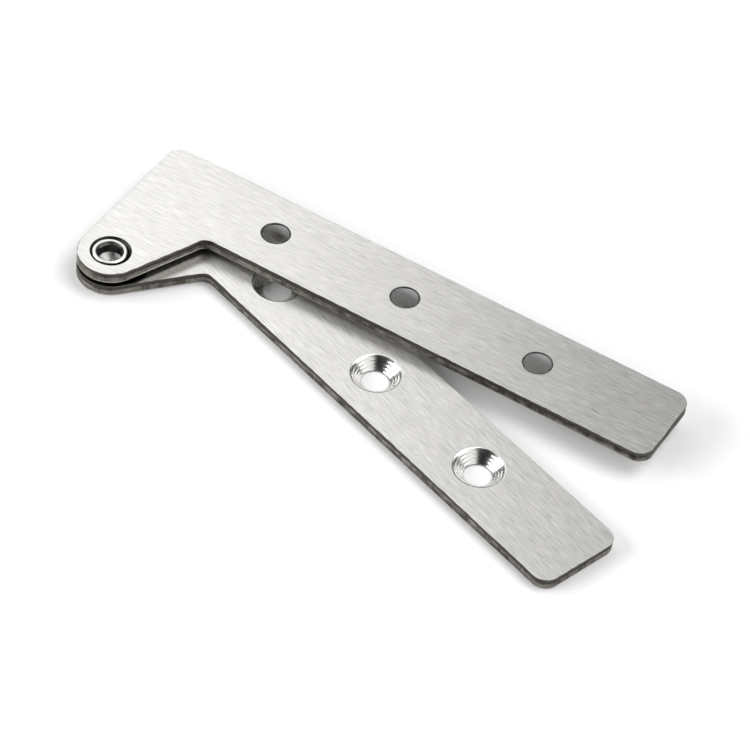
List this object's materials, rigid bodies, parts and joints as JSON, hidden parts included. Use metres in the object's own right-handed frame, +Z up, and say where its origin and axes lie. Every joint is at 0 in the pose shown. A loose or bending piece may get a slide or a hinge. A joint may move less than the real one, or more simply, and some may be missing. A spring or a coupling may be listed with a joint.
{
  "type": "offset pivot hinge",
  "caption": "Offset pivot hinge: flat L-shaped stainless leaves, stacked and joined at one corner by a hollow rivet, with countersunk screw holes along each leaf.",
  "frame": {"origin": "on the pivot axis, at the plane of the lower leaf's underside", "axes": "+Z up along the pivot axis, from the lower leaf to the upper one; +X along the lower leaf, from the pivot towards its far end"},
  "size_m": [0.107, 0.0606, 0.0048],
  "materials": {
    "leaf_steel": "stainless sheet, brushed along the leaf",
    "rivet_steel": "stainless, bright where it is rolled over",
    "washer_nylon": "dark nylon, smooth"
  },
  "bodies": {
    "lower": {"lower_leaf": "leaf_steel", "pivot_rivet": "rivet_steel", "spacer_washer": "washer_nylon"},
    "upper": {"upper_leaf": "leaf_steel"}
  },
  "joints": [
    {"name": "leaf_pivot", "type": "hinge", "parent": "lower", "child": "upper", "pos_m": [0, 0, 0], "axis": [0, 0, 1], "continuous": true}
  ]
}
